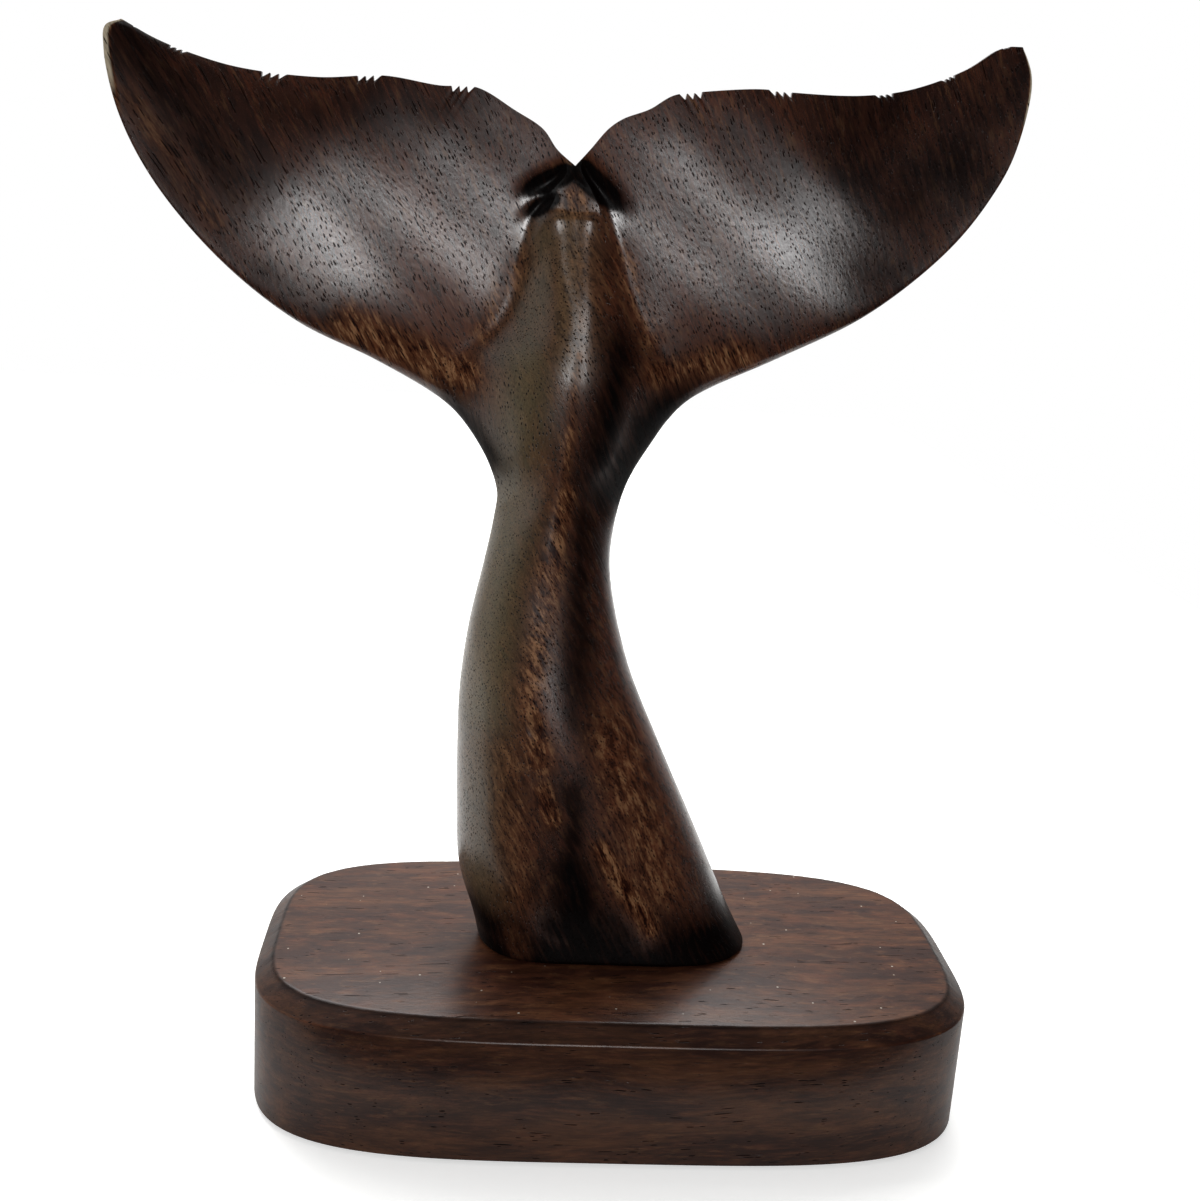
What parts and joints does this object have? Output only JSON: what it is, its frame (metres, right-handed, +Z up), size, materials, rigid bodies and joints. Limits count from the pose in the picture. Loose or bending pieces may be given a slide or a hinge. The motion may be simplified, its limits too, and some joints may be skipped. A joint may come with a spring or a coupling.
{
  "type": "carved whale tail sculpture",
  "caption": "Carved wooden whale tail with cupped, nicked flukes and a keeled stock, screwed to a rounded, chamfered wooden base with felt below.",
  "frame": {"origin": "middle of the felt's underside, on the surface that the sculpture stands on", "axes": "+Z up, +X to the right of a viewer who faces the hollow side of the flukes, -Y towards that viewer"},
  "size_m": [0.2358, 0.106, 0.289],
  "materials": {
    "carved_wood": "dark stained open-pored hardwood, hand rubbed satin lacquer",
    "base_wood": "dark stained hardwood, satin lacquer, grain along the block",
    "screw_steel": "bright zinc plated",
    "felt": "pressed wool felt"
  },
  "bodies": {
    "root": {"whale_tail": "carved_wood", "base_block": "base_wood", "base_screw_left": "screw_steel", "base_screw_right": "screw_steel", "base_felt": "felt"}
  },
  "joints": []
}
